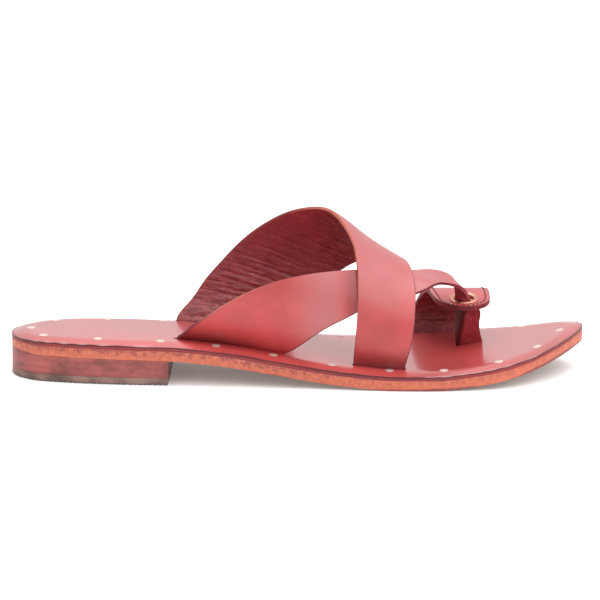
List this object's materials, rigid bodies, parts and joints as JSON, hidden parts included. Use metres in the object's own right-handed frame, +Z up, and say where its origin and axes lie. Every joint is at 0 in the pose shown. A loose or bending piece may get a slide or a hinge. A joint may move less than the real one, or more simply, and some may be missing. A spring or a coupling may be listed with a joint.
{
  "type": "flat leather sandal",
  "caption": "Right-foot flat leather slide sandal with crossed instep straps, a toe strap with metal eyelet and toe post, nailed leather sole and low stacked heel.",
  "frame": {"origin": "on the floor under the middle of the heel, on the flat face of the top lift", "axes": "+X towards the toes, +Y to the inner side of the foot, +Z up"},
  "size_m": [0.2714, 0.0938, 0.0773],
  "materials": {
    "strap_leather": "smooth waxed red leather with dark burnished edges",
    "footbed_leather": "glossy red leather",
    "sole_edge_leather": "raw orange leather edge with uneven dark burnish",
    "heel_leather": "stained stacked leather",
    "heel_rubber": "matt grey-brown rubber",
    "copper": "polished rose copper plating",
    "nail_steel": "worn light steel"
  },
  "bodies": {
    "root": {"eyelet": "copper", "heel_block": "heel_leather", "insole": "footbed_leather", "nail_01": "nail_steel", "nail_02": "nail_steel", "nail_03": "nail_steel", "nail_04": "nail_steel", "nail_05": "nail_steel", "nail_06": "nail_steel", "nail_07": "nail_steel", "nail_08": "nail_steel", "nail_09": "nail_steel", "nail_10": "nail_steel", "nail_11": "nail_steel", "nail_12": "nail_steel", "nail_13": "nail_steel", "nail_14": "nail_steel", "nail_15": "nail_steel", "nail_16": "nail_steel", "nail_17": "nail_steel", "nail_18": "nail_steel", "nail_19": "nail_steel", "nail_20": "nail_steel", "outsole": "sole_edge_leather", "toe_strap": "strap_leather", "top_lift": "heel_rubber", "upper": "strap_leather"}
  },
  "joints": []
}
